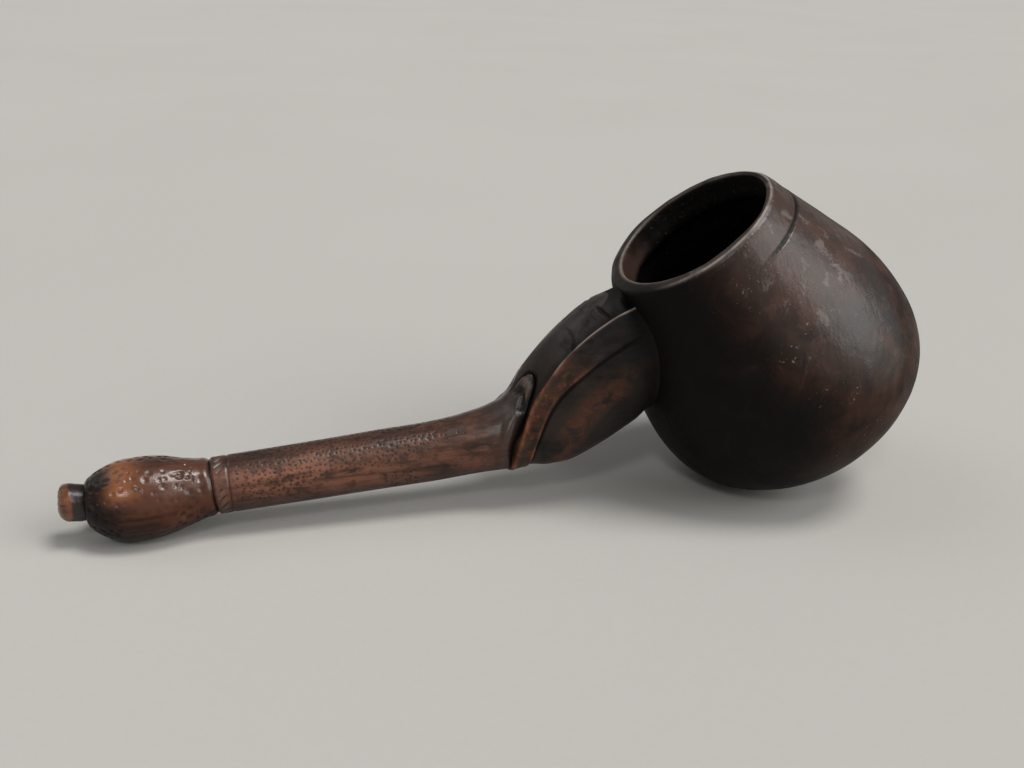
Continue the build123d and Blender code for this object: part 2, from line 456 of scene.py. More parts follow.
# ---------------- bowl
def make_bowl():
    around, grow = ((464, 1.0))
    outside = spaced(OUTLINE, lambda at, whole: grow * (0.45 if whole - at < CLOSE_POINTS else 1.9))
    throat_low = MOUTH_HEIGHT - THROAT_DEPTH
    throat_radius = MOUTH_RADIUS - LIP_WIDTH
    hollow_top = throat_low - UNDERCUT_LENGTH
    inner = wall_line(BOWL_RADIUS - WALL, BELLY_DEPTH - WALL, SHOULDER_RADIUS - WALL, hollow_top)
    corners = (
        ((MOUTH_RADIUS, MOUTH_HEIGHT), LIP_OUTER),
        ((throat_radius, MOUTH_HEIGHT), LIP_INNER),
        ((throat_radius, throat_low), THROAT_FOOT),
    )
    lip = np.vstack([np.array(corner) + np.array(steps) for corner, steps in corners])
    outside = outside[outside[:, 1] < MOUTH_HEIGHT - LIP_START]
    rim = spaced(curve(lip, 300), 0.42 * grow)
    hollow = spaced(inner[::-1], 2.6 * grow)
    profile = np.vstack([outside, rim, hollow])
    profile[:, 0] = np.maximum(profile[:, 0], 0.02)
    turn = full_turn(around)
    r, z = profile[:, 0:1], profile[:, 1:2] + 0 * turn
    rings = np.stack([r * np.cos(turn), r * np.sin(turn), z], -1)
    step = np.gradient(profile, axis=0)
    step /= np.linalg.norm(step, axis=1, keepdims=True)
    out_r, out_z = step[:, 1:2], -step[:, 0:1] + 0 * turn
    n = np.stack([out_r * np.cos(turn), out_r * np.sin(turn), out_z], -1)
    # 0 on the outside, 1 on lip and throat, 2 in the hollow
    part = np.r_[np.zeros(len(outside)), np.ones(len(rim)), np.full(len(hollow), 2)][:, None] + 0 * turn
    # the throat is cut off centre: the rim is thick beside the handle and thin opposite
    inset = MOUTH_RADIUS - r
    share = np.where(part == 1, ramp(0.2, 4.6, inset), 0)
    share += np.where(part == 2, ramp(14, 4, throat_low - z), 0)
    widen = share * (1.2 + 1.3 * np.cos(turn + 0.45))
    rings[..., 0] += widen * np.cos(turn)
    rings[..., 1] += widen * np.sin(turn)
    degrees = np.degrees(np.arctan2(rings[..., 1], rings[..., 0]))
    height = rings[..., 2]
    down = MOUTH_HEIGHT - height

    hand = 0.28 * noise(rings, 34, 3) + 0.1 * noise(rings, 12, 5)
    facets = 0.05 * noise(rings, 5, 8, (1, 1, 0.35))
    low = ramp(-BELLY_DEPTH, -BELLY_DEPTH + 6, height)
    outer = np.where(part == 0, 1.0, np.where(part == 1, 1 - ramp(-1.2, 1.8, inset), 0.0))
    move = (hand * low + facets) * outer
    # incised ring below the mouth: clear at the front right, worn away towards the handle
    strength = ramp(-98, -62, degrees) * (1 - ramp(120, 165, degrees)) * (1 - 0.6 * ramp(-34, -10, degrees))
    wander = 0.25 * np.sin(np.radians(degrees) * 2 + 0.6)
    ring_gap = (RING_GROOVE_DROP - down - wander) / math.cos(TURN)
    cut = bell(ring_gap, 0.7) + 0.3 * ramp(0.0, 1.2, ring_gap) * (1 - ramp(2.0, 7.5, ring_gap))
    move -= np.where(part == 0, 0.8 * strength * cut, 0)
    # worn, uneven lip
    lip_wear = 0.32 * noise(rings, 15, 21) + 0.12 * noise(rings, 5, 22)
    move += ramp(14, 1, down) * (part < 2) * lip_wear
    # knife marks in the throat, gouge marks in the hollow
    throat_marks = 0.35 * noise(rings, 3.2, 31, (1, 1, 0.25))
    inward = (part == 1) & (inset > 2.5)
    move += np.where(inward & (down > 2.0), throat_marks, 0)
    gouge = np.abs(noise(rings, 7, 41, (1, 1, 0.5))) * 0.9 + 0.35 * noise(rings, 2.6, 43)
    inside = ramp(0, 4, np.abs(height - hollow_top))
    move += np.where(part == 2, -gouge * np.maximum(inside, 0.5), 0)
    rings = rings + n * move[..., None]

    placed = from_bowl(rings)
    # flat worn by the table
    placed[..., 2] = np.maximum(placed[..., 2], 0.0)
    # the incised ring is painted dark: painted shade in the groove
    groove = np.where(part == 0, strength * bell(ring_gap, 0.9), 0)
    # pale lip edges: partly wear, partly painted highlight along the inner crest and, at the front, on the
    # outer edge
    off_edge = np.hypot(rings[..., 0], rings[..., 1]) - throat_radius - widen - 0.4
    inner_edge = bell(down - 0.3, 0.8) * (part == 1) * bell(off_edge, 0.6)
    outer_edge = bell(inset - 0.8, 0.55) * (part == 1) * (down < 1.7)
    front = ramp(-150, -105, degrees) * (1 - ramp(0, 45, degrees))
    behind = ramp(20, 60, degrees) * (1 - ramp(110, 150, degrees))
    wear_and_highlight = np.maximum(0.6 * inner_edge * (1 - front) * (1 - 0.6 * behind), outer_edge * front)
    foot = ramp(THROAT_DEPTH - 2.5, THROAT_DEPTH, down)
    # near black in the hollow, at the throat's foot and round the throat away from the handle: partly dark
    # stain, partly painted shade
    inside_stain_and_shade = np.where(part == 2, 1, inward * foot)
    handle_side = 1 - ramp(-0.75, -0.35, np.cos(np.radians(degrees)) + 0.15 * noise(rings, 8, 46))
    throat = inward * ramp(0.8, 1.8, down) * (1 - inside_stain_and_shade)
    inside_stain_and_shade = unit(inside_stain_and_shade + throat * (1 - handle_side) * 0.85)
    # redder where the surface faces the window light and near black where it turns away: partly the wood's
    # patina, partly painted light and shade
    facing = n[..., 0] * 0.9 - n[..., 1] * 0.12 + n[..., 2] * 0.1
    patina_and_lit_side = ramp(-0.42, 0.5, facing + 0.28 * noise(rings, 30, 47))
    patina_and_lit_side = np.where((part < 2) & ~(inward & (down > 1.5)), patina_and_lit_side, 0.2)
    # sheen where the surface faces up, but not where it faces away from the handle
    n_placed = from_bowl(n) - from_bowl(np.zeros(3))
    gloss = patina_and_lit_side * ramp(-0.05, 0.5, n_placed[..., 2]) * (1 - 0.95 * ramp(0.32, 0.58, n_placed[..., 0]))
    gloss = np.maximum(gloss * (1 - 0.8 * groove), 0.35 * ramp(1.6, 0.5, down))
    throat = throat * handle_side
    marks = dict(groove=groove, wear_and_highlight=wear_and_highlight, cavity_stain_and_shade=inside_stain_and_shade, throat=throat, patina_and_lit_side=patina_and_lit_side, gloss=gloss)
    return grid_mesh("bowl_carved", placed, marks)


# ---------------- handle surface shared by shaft and neck
def seam_position(theta):
    """Section position of the shaft's end at each angle round the handle."""
    return along(*np.array(SEAM, float).T, side_angle(theta))


SEAM_TURN = np.linspace(0, 2 * np.pi, 720)
SEAM_POINTS = section_point(HANDLE, seam_position(SEAM_TURN), SEAM_TURN)


def seam_cut(points, theta):
    """V-shaped groove along the seam, wide at the sides and a thin line over the top: its depth,
    and how close each point is to its middle, 0 to 1."""
    gap = space_distance(points, SEAM_POINTS)
    up = side_angle(theta)
    over_top = 1.5 * ramp(60, 72, up)
    wide = 2.7 - over_top - 1.8 * ramp(-10, 42, -up)
    deep = 2.6 - over_top - 1.8 * ramp(-10, 50, -up)
    near = unit(1 - gap / wide)
    return deep * near**1.1, near


def make_shaft():
    around, count = ((276, 350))
    theta = full_turn(around) - np.pi / 2
    joint = HANDLE[0][0]
    s = joint + (seam_position(theta) - joint) * np.linspace(0, 1, count)[:, None]
    angle, rings, n = loft(HANDLE, s, theta)
    up = np.sin(angle)
    arc = angle * GRIP_RADIUS
    from_joint = s - joint

    move = 0.12 * noise(rings, 9, 51, (0.3, 1, 1))
    move += 0.22 * noise(rings, 22, 52, (0.5, 1, 1))
    # rounded start beside the knob
    move -= 1.3 * (1 - ramp(-0.2, 1.4, from_joint))
    # incised ring and slanting nicks between it and the joint
    ring_at = from_joint - SHAFT_RING - 0.35 * np.sin(angle + 0.8)
    ring_cut = bell(ring_at, 0.42)
    move -= 0.34 * ring_cut
    slant = np.abs(((arc + 0.9 * from_joint + 1.1 * noise(rings, 8, 54)) / 3.6) % 1 - 0.5) * 3.6
    slant_on = bump_at(from_joint, 3.4, 2.6) * (noise(rings, 7, 55) > -0.35)
    slant_cut = bell(slant, 0.42) * slant_on
    move -= 0.6 * slant_cut
    # punched dots
    warp_u = s + 0.5 * noise(rings, 11, 61)
    warp_v = arc + 0.5 * noise(rings, 9, 62)
    gap, which = dots(warp_u, warp_v, DOT_SPACING, 0.75, 63)
    near_ring = ramp(8.0, 10.0, from_joint)
    reach_down = -0.35 + 0.85 * ramp(-235, -150, s)
    upper = ramp(-0.3, 0.15, up - reach_down + 0.3 * noise(rings, 11, 64))
    fade = 1 - ramp(*DOTS_FADE, s + 8 * noise(rings, 11, 65))
    patch = 0.8 * bump_at(s, LOW_DOTS, 14) * ramp(-1.0, -0.75, up) * (1 - ramp(-0.1, 0.2, up))
    field = unit(near_ring * fade * np.maximum(upper, patch))
    sized = 0.42 + 0.34 * which
    pit = unit(1 - (gap / (sized * 1.2)) ** 2) ** 1.2
    pit *= (which * 0.85 + 0.15 < field + 0.12) * (field > 0.05)
    move -= 0.14 * pit
    # long shallow knife facets
    facets = np.abs(((angle * 9 / (2 * np.pi) + 0.2 * noise(rings, 60, 66)) % 1) - 0.5)
    move += 0.25 * (facets - 0.25)
    # groove at the neck, with the shaft's own edge rolled over it
    cut, near = seam_cut(rings, angle)
    lift = side_angle(angle)
    to_seam = space_distance(rings, SEAM_POINTS)
    body = bump_at(to_seam, 4.2, 3.4) * ramp(-60, -10, lift) * (1 - ramp(48, 60, lift))
    move += 0.7 * body
    # curled tip on each side, fainter on the far one: an arched ridge round a small hollow
    curl = np.zeros(s.shape)
    dip = np.zeros(s.shape)
    for mirrored, size in ((False, 0.35), (True, 1.0)):
        gaps = []
        for path in (CURL_RIDGE, CURL_HOLLOW):
            at, rise = np.array(path, float).T
            turn = np.pi - np.radians(rise) if mirrored else np.radians(rise)
            gaps.append(space_distance(rings, curve(section_point(HANDLE, at, turn), 40)))
        curl = np.maximum(curl, size * bell(gaps[0], 0.8))
        dip = np.maximum(dip, size * bell(gaps[1], 1.6))
    move += 0.7 * curl - 1.9 * dip * (1 - 0.7 * curl)
    rings = rings + n * (move - cut)[..., None]
    rings[..., 2] = np.maximum(rings[..., 2], 1.0)
    opening = drawn_in(rings[0], rings[0].mean(0), (0.9, 0.5, 0.12), 0.25)
    closing = drawn_in(rings[-1], SHAFT_TIP, (0.2, 0.6, 0.9))

    # painted shade in the seam groove, the ring, the nicks and the curl's hollow
    groove = unit(near**0.55 + ring_cut * 0.6 + slant_cut * 0.8 + dip * 0.9)
    # paler curl ridge, swell beside the seam and ridges between the nicks: partly wear, partly painted
    # highlight
    nicked = slant_on * unit(1 - 1.2 * slant_cut)
    wear_and_highlight = unit(curl + 0.15 * body + nicked)
    dull = ramp(-135, -122, s + 4 * noise(rings, 9, 67))
    # darker underneath and along the very top: painted shade
    under = ramp(0.15, -0.75, up + 0.25 * noise(rings, 14, 68)) + 0.6 * ramp(0.7, 0.98, up)
    gloss = ramp(0.0, 0.75, up) * (1 - 0.85 * pit) * (1 - 0.8 * dip)
    marks = dict(under=under, gloss=gloss, pit=pit, groove=groove, wear_and_highlight=wear_and_highlight, neckness=dull)
    return capped_mesh("shaft_carved", opening, rings, closing, marks, front=0)


def make_neck():
    around, count = ((400, 240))
    theta = full_turn(around) - np.pi / 2
    start = seam_position(theta)
    # where each line along the neck meets the bowl
    tries = np.linspace(-100, -52, 241)
    grid_s, grid_a = np.meshgrid(tries, theta, indexing="ij")
    deep = bowl_depth(section_point(HANDLE, grid_s, grid_a))
    end = tries[np.argmax(deep > NECK_SUNK, axis=0)]
    end = (np.roll(end, 1) + end + np.roll(end, -1)) / 3
    s = start + (end - start) * np.linspace(0, 1, count)[:, None]
    angle, rings, n = loft(HANDLE, s, theta)
    side_view = np.stack([rings[..., 0], rings[..., 2]], -1)
    d_up, t_up = line_distance(side_view, curve(BAND_UPPER))
    d_low, t_low = line_distance(side_view, curve(BAND_LOWER))
    up = side_angle(angle)
    sideways = np.abs(np.cos(angle))

    # band: raised, with a crisp upper edge and a lower edge that steps down
    on_band = ramp(-0.35, 0.5, -d_up) * ramp(-0.35, 0.35, d_low)
    move = (1.35 - 0.6 * ramp(0.6, 0.85, t_up) - 0.9 * ramp(25, 65, -up)) * on_band
    hollow_band = np.clip(-d_up, 0, 12)
    move += on_band * (0.35 * bell(hollow_band - 0.9, 1.1) + 0.2 * bell(d_low - 0.9, 1.0))
    # thin dark line below the band, then the full belly of the lower lobe
    below = ramp(0, 0.25, -d_low)
    move -= 0.75 * bell(-d_low - 0.55, 0.75) * below
    move += 0.9 * ramp(1.0, 10, -d_low) * below
    # upper lobe pillowed between the seam and the band
    above = ramp(0, 0.3, d_up)
    move -= 1.2 * bell(d_up, 2.8) * above * ramp(0.12, 0.3, t_up)
    move += 0.5 * ramp(1.5, 9, d_up) * above * (1 - ramp(70, 86, up))
    move += 0.18 * noise(rings, 16, 71) + 0.07 * noise(rings, 5, 72)
    # incised veins on the upper lobe
    vein = np.zeros(s.shape)
    for strength, line in VEINS:
        for side in (1, -1):
            path = curve(np.array(line) * np.array([1, side, 1]), 24)
            gap = np.maximum(space_distance(rings, path) - 0.45, 0)
            vein = np.maximum(vein, strength * bell(gap, 0.5))
    move -= 0.5 * vein
    # hollow cut under the rim, beside the bowl
    wall = -bowl_depth(rings)
    under_rim = bell(rings[..., 2] - NOTCH_HEIGHT, 5.5) * bell(wall, 4.6)
    under_rim *= ramp(0.12, 0.4, sideways) * above
    move -= 2.3 * under_rim
    # the neck flares softly into the bowl at the sides and underneath
    reach = 4.5
    into = np.clip(reach - np.maximum(wall, 0), 0, reach)
    flare = 0.2 * (reach - np.sqrt(reach**2 - into**2)) * (1 - ramp(20, 48, up))
    move = move * (1 - ramp(9.0, 0.5, wall) * (1 - under_rim)) + flare
    # darkened crease where the neck meets the bowl: painted shade
    crease_shade = bell(wall, 1.2) * (1 - under_rim)
    cut, near = seam_cut(rings, angle)
    cut *= 1 - 0.6 * ramp(-0.5, 0.6, -d_up)
    move -= cut
    rings = rings + n * move[..., None]
    # the last rings stay in the bowl's wall, whose face looks this way here
    sunk = bowl_depth(rings)
    wall_out = np.array([-math.cos(TURN - LEAN), 0, math.sin(TURN - LEAN)])
    for number, least in ((-1, 1.1), (-2, 0.75), (-3, 0.4)):
        rings[number] -= wall_out * np.clip(least - sunk[number], 0, 4)[:, None]

    # closed ends: over the shaft's end, and inside the bowl's wall
    before = drawn_in(rings[0], NECK_TIP, (0.9, 0.55, 0.15))
    after = drawn_in(rings[-1], rings[-1].mean(0), (0.3, 0.6, 0.85))
    after -= wall_out * np.clip(1.6 - bowl_depth(after), -6, 6)[..., None]

    chance = ramp(-0.35, 0.35, noise(rings, 6, 75))
    crest = bell(-d_up - 0.6, 0.8) * ramp(0.2, 0.5, sideways) * (0.35 + 0.65 * chance)
    low_crest = bell(d_low - 0.5, 0.6) * ramp(0.3, 0.6, sideways) * chance * 0.7
    lower_half = 1 - ramp(0.46, 0.66, t_up)
    # thin pale line along the band's upper edge: a painted highlight
    thin = bell(-d_up - 0.3, 0.3) * ramp(0.2, 0.5, sideways) * ramp(0.42, 0.56, t_up)
    thin *= (1 - ramp(0.84, 0.95, t_up)) * (0.3 + 0.7 * chance)
    wear_and_highlight = unit(crest * lower_half + low_crest * (1 - ramp(0.5, 0.72, t_low)))
    # dark in the seam groove, the veins, the cut under the rim, the line below the band and at the foot of
    # the upper lobe: painted shade
    groove = unit(near**0.55 * (1 - on_band) + vein + under_rim * 0.9)
    line = bell(-d_low - 0.5, 0.8) * below * ramp(0.5, 3.0, wall)
    # darker near the bowl and under the rim: partly dark wood, partly painted shade
    dark_wood_and_shade = bell(wall, 15.0)
    dark_wood_and_shade = np.maximum(dark_wood_and_shade, 0.8 * bell(rings[..., 2] - 90, 9) * bell(wall, 10))
    groove = unit(groove + 0.85 * line + 0.5 * crease_shade + dark_wood_and_shade)
    groove = unit(groove + 0.45 * bell(d_up - 0.9, 1.3) * above)
    # reddish painted highlight on the swell of the lower lobe
    belly = below * bump_at(-d_low, 13, 9)
    pale = above * ramp(*LOBE_PALE, s + 2.5 * noise(rings, 7, 76))
    band = on_band * lower_half
    marks = dict(groove=groove, wear_and_highlight=wear_and_highlight, band=band, edge_highlight=thin, belly=belly, pale=pale)
    return capped_mesh("neck_carved", before, rings, after, marks)


def make_knob():
    around, count = ((260, 260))
    theta = full_turn(around)
    first, last = KNOB[0][0], KNOB[-1][0]
    s = (first + (last - first) * np.linspace(0, 1, count))[:, None] + 0 * theta
    angle, rings, n = loft(KNOB, s, theta)
    half = along(*np.array(KNOB).T[[0, 3]], s)
    keys = distances(rings[:, 0])
    walk = keys[:, None] + 0 * theta
    warp_u = walk + 0.8 * noise(rings, 9, 81)
    # the number of dots round each row follows the girth, in three steps
    shape = np.zeros(s.shape)
    for girth, low, high in ((16, 12.4, 30), (11, 9.3, 12.4), (7.5, 5, 9.3)):
        whole = round(2 * np.pi * girth / DIMPLE_SPACING)
        warp_v = angle / (2 * np.pi) * whole * DIMPLE_SPACING + 0.7 * noise(rings, 7, 82)
        gap, which = dots(warp_u, warp_v, DIMPLE_SPACING, 0.75, 83, DIMPLE_SQUASH)
        part = unit(1 - (gap / (1.25 + 0.75 * which)) ** 2) ** 1.3
        shape = np.where((half >= low) & (half < high), part, shape)
    end_fade = ramp(0.6, 3.0, walk) * (1 - ramp(keys[-1] - 4.5, keys[-1] - 1.0, walk))
    pit = shape * end_fade * (0.35 + 0.65 * ramp(-0.4, 0.4, noise(rings, 9, 87)))
    move = 0.3 * noise(rings, 12, 88) * end_fade + 0.07 * noise(rings, 4, 89) - 0.5 * pit
    rings = rings + n * move[..., None]
    rings[..., 2] = np.maximum(rings[..., 2], 0.0)
    before = drawn_in(rings[0], rings[0].mean(0), (0.85, 0.4), 0.3)
    after = drawn_in(rings[-1], rings[-1].mean(0), (0.4, 0.85), -0.1)

    groove = (1 - ramp(0.0, 1.6, walk)) + ramp(keys[-1] - 1.4, keys[-1] - 0.1, walk)
    up = np.sin(angle)
    burnt_to = KNOB_BURNT[1] + 9 * ramp(0.35, -0.7, up)
    scorch_and_shade = 1 - ramp(KNOB_BURNT[0], burnt_to, s + 3.0 * noise(rings, 8, 90))
    # darker underneath too: painted shade, added to the scorched end
    scorch_and_shade = unit(scorch_and_shade + 0.9 * ramp(-0.3, -0.8, up))
    amber = bell(s - KNOB_AMBER, 7.0) * ramp(0.2, 0.6, up)
    gloss = ramp(-0.05, 0.6, up) * (1 - 0.7 * scorch_and_shade)
    marks = dict(pit=pit, groove=unit(groove), scorch_and_shade=scorch_and_shade, amber=amber, gloss=gloss)
    return capped_mesh("knob_carved", before, rings, after, marks)


def make_button():
    around = 120
    theta = full_turn(around)
    first, last = BUTTON[0][0], BUTTON[-1][0]
    s = np.linspace(first, last, 70)[:, None] + 0 * theta
    rings, n = loft(BUTTON, s, theta)[1:]
    move = 0.25 * noise(rings, 5, 91) + 0.09 * noise(rings, 1.8, 92)
    star = np.zeros(around)
    for spoke, width in BUTTON_CRACKS:
        away = np.abs((theta - spoke + np.pi) % (2 * np.pi) - np.pi)
        star = np.maximum(star, bell(away, width))
    over = star * (1 - ramp(first + 1.0, first + 4.4, s))
    # the end is cut a little askew
    slant = 1 - ramp(first + 2.0, first + 7.5, s)
    rings[..., 0] += (0.3 - 0.1 * rings[..., 1]) * slant
    move -= 0.4 * over
    rings = rings + n * move[..., None]
    # the end's face, from its middle outwards, cracked where the spokes are
    middle = rings[0].mean(0)
    face = []
    cracks = []
    for t in np.linspace(0.12, 0.97, 14):
        ring = middle + (rings[0] - middle) * t
        narrow = unit(star * ramp(0.1, 0.3, t))
        dome = -0.35 * (1 - t * t)
        ring[:, 0] += dome + 0.55 * narrow + 0.12 * noise(ring, 1.6, 93)
        face.append(ring)
        cracks.append(narrow)
    inside = drawn_in(rings[-1], np.array([last + 2, 0, 17.0]), (0.35, 0.8))
    body = np.concatenate([face, rings, inside])
    waist = ramp(*BUTTON_WAIST, s)
    scorch_and_shade = ramp(first + 2.6, first + 4.4, s + 0.5 * noise(rings, 3, 94) + 0.3 * rings[..., 1])
    # each mark on the face, along the side and on the hidden end
    marks = dict(
        groove=(np.array(cracks), unit(waist + over), 1),
        wear_and_highlight=(0.45, bell(s - first - 0.8, 0.9), 0),
        face=(1, 0 * s, 0),
        scorch_and_shade=(0, scorch_and_shade, 1),
    )
    for key, (on_face, on_side, hidden) in marks.items():
        ends = [np.full((len(rows), around), v) for rows, v in ((face, on_face), (inside, hidden))]
        marks[key] = np.concatenate([ends[0], on_side, ends[1]])
    return grid_mesh("button_carved", body, marks)


def make_dowels():
    """The two hidden dowels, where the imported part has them."""
    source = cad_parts["neck_dowels"]
    thing = source.copy()
    thing.data = source.data.copy()
    thing.name = "dowels_hidden"
    thing.hide_render = False
    bpy.context.scene.collection.objects.link(thing)
    return thing


# ---------------- materials
class Nodes:
    """Shader nodes: shades laid one over another, then bumps one over another."""

    def __init__(self, name, base, kind=bpy.data.materials, shader="Principled BSDF"):
        self.owner = kind.new(name)
        self.owner.use_nodes = True
        self.tree = self.owner.node_tree
        self.shader = self.tree.nodes[shader]
        self.colour = (*base, 1.0)
        self.normal = None

    def link(self, value, socket):
        if isinstance(value, bpy.types.NodeSocket):
            self.tree.links.new(value, socket)
        else:
            socket.default_value = value

    def add(self, kind, inputs, **settings):
        """A new node with its settings, and with values or links on its inputs."""
        node = self.tree.nodes.new("ShaderNode" + kind)
        for key, value in settings.items():
            setattr(node, key, value)
        for key, value in inputs.items():
            self.link(value, node.inputs[key])
        return node

    def noise(self, size_mm, detail=3, rough=0.6, stretch=(1, 1, 1), offset=0.0, distort=0.0, turn=(0, 0, 0)):
        place = {
            "Scale": stretch,
            "Location": (offset, offset * 0.7, -offset),
            "Rotation": turn,
            "Vector": self.add("TexCoord", {}).outputs["Object"],
        }
        inputs = {
            "Scale": 1 / (size_mm * MM),
            "Detail": detail,
            "Roughness": rough,
            "Distortion": distort,
            "Vector": self.add("Mapping", place).outputs["Vector"],
        }
        return self.add("TexNoise", inputs).outputs["Fac"]

    def mark(self, name):
        """One of the values that grid_mesh stores on the mesh."""
        return self.add("Attribute", {}, attribute_name=name).outputs["Fac"]

    def between(self, value, low, high, to_low=0.0, to_high=1.0):
        """to_low where the value is low, to_high where it is high, smooth between."""
        inputs = {"Value": value, "From Min": low, "From Max": high, "To Min": to_low, "To Max": to_high}
        node = self.add("MapRange", inputs, interpolation_type="SMOOTHSTEP")
        return node.outputs["Result"]

    def maths(self, operation, a, b):
        return self.add("Math", {0: a, 1: b}, operation=operation).outputs[0]

    def times(self, product, *others):
        for other in others:
            product = self.maths("MULTIPLY", product, other)
        return product

    def paint(self, shade, *amounts):
        """Lay a shade over the colour so far, as far as the product of the amounts says."""
        node = self.add("Mix", {"Factor": self.times(*amounts)}, data_type="RGBA")
        under, over = [i for i in node.inputs if i.type == "RGBA"]
        self.link(self.colour, under)
        self.link((*shade, 1.0), over)
        self.colour = [o for o in node.outputs if o.type == "RGBA"][0]

    def bump(self, height, distance_mm, strength):
        inputs = {"Strength": strength, "Distance": distance_mm * MM, "Height": height}
        if self.normal is not None:
            inputs["Normal"] = self.normal
        self.normal = self.add("Bump", inputs).outputs["Normal"]

    def shade(self, inputs):
        for key, value in inputs.items():
            self.link(value, self.shader.inputs[key])
        return self.owner

    def finish(self, roughness, specular=0.5, coat=0.0, coat_roughness=0.3):
        inputs = {
            "Base Color": self.colour,
            "Roughness": roughness,
            "Normal": self.normal,
            "Specular IOR Level": specular,
            "Coat Weight": coat,
            "Coat Roughness": coat_roughness,
        }
        if isinstance(coat, bpy.types.NodeSocket):
            inputs["Coat Normal"] = self.normal
        return self.shade(inputs)


def bowl_material():
    m = Nodes("bowl_wood", (0.0038, 0.0032, 0.003))
    lean = (0, LEAN, 0)
    patina_and_lit_side, gloss, cavity_stain_and_shade = m.mark("patina_and_lit_side"), m.mark("gloss"), m.mark("cavity_stain_and_shade")
    blotch = m.noise(15, 4, 0.62, offset=0.031, distort=0.9)
    large = m.noise(34, 3, 0.55, offset=0.052, distort=0.5)
    streak = m.noise(7, 3, 0.6, (1, 1, 0.16), 0.017, 0.2, lean)
    fine = m.noise(1.6, 3, 0.65, (1, 1, 0.12), 0.05, 0.0, lean)
    # red-brown laid where the surface faces the window light: partly patina, partly painted light
    m.paint((0.042, 0.0185, 0.0125), patina_and_lit_side, m.between(large, 0.32, 0.6, 0.25, 1.0))
    m.paint((0.08, 0.034, 0.023), m.between(blotch, 0.48, 0.66), patina_and_lit_side, 0.5)
    m.paint((0.0075, 0.0055, 0.0048), m.between(blotch, 0.46, 0.3, 0, 0.75))
    m.paint((0.006, 0.0045, 0.004), m.between(streak, 0.52, 0.8, 0, 0.55), patina_and_lit_side)
    m.paint((0.03, 0.018, 0.0135), m.between(fine, 0.4, 0.75, 0, 0.3), patina_and_lit_side)
    # pale grey patches only where the sheen falls: partly scuffs, partly painted sheen
    scuff_and_sheen = m.between(m.noise(6.5, 5, 0.72, (1, 1, 0.4), 0.83, 0.5, (0.2, 0.9, 0.3)), 0.56, 0.65)
    m.paint((0.19, 0.165, 0.155), scuff_and_sheen, m.between(large, 0.36, 0.58), gloss, 0.5)
    # painted shade in the incised ring
    m.paint((0.003, 0.0025, 0.0025), m.mark("groove"))
    m.paint((0.052, 0.03, 0.022), m.mark("throat"), 0.85)
    # near black inside: partly stain, partly painted shade
    m.paint((0.004, 0.0034, 0.0032), cavity_stain_and_shade)
    patchy = m.between(m.noise(9, offset=0.36), 0.3, 0.6, 0.35, 0.95)
    # pale lip edges: partly wear, partly painted highlight
    m.paint((0.34, 0.295, 0.265), m.mark("wear_and_highlight"), patchy)
    # painted glints on the rough inside of the hollow
    m.paint((0.06, 0.052, 0.047), m.between(m.noise(1.2, offset=0.15), 0.6, 0.72), cavity_stain_and_shade)
    # pale specks on the side towards the window light: partly flecks, partly painted glints
    specks_and_glints = m.between(m.noise(1.5, offset=0.09), 0.64, 0.7)
    sparse = m.between(m.noise(17, offset=0.2), 0.5, 0.62)
    m.paint((0.32, 0.27, 0.23), specks_and_glints, sparse, patina_and_lit_side, 0.6)
    wax = m.between(m.noise(4.5, 4, 0.7, offset=0.7, distort=0.8), 0.55, 0.7)
    rough = m.between(m.noise(16, 4, 0.65, offset=0.4), 0.3, 0.7, 0.48, 0.6)
    rough = m.maths("SUBTRACT", rough, m.times(wax, sparse, 0.1))
    rough = m.maths("ADD", rough, m.between(cavity_stain_and_shade, 0, 1, 0, 0.12))
    m.bump(m.noise(5.5, 4, 0.55, (1, 1, 0.5), 0.6, 0.0, lean), 0.4, 0.8)
    m.bump(wax, 0.05, 0.7)
    m.bump(m.noise(2.6, 4, 0.6, offset=0.66, distort=0.5), 0.07, 0.7)
    m.bump(fine, 0.06, 0.6)
    m.bump(m.noise(0.9, 2, 0.5, (0.06, 1, 1), 0.3, 0.1, (0.3, 0.5, 0.9)), 0.03, 0.5)
    shine = m.times(m.between(gloss, 0.05, 0.7), m.between(wax, 0, 1, 0.8, 1.0))
    return m.finish(rough, specular=0.1, coat=shine, coat_roughness=0.33)


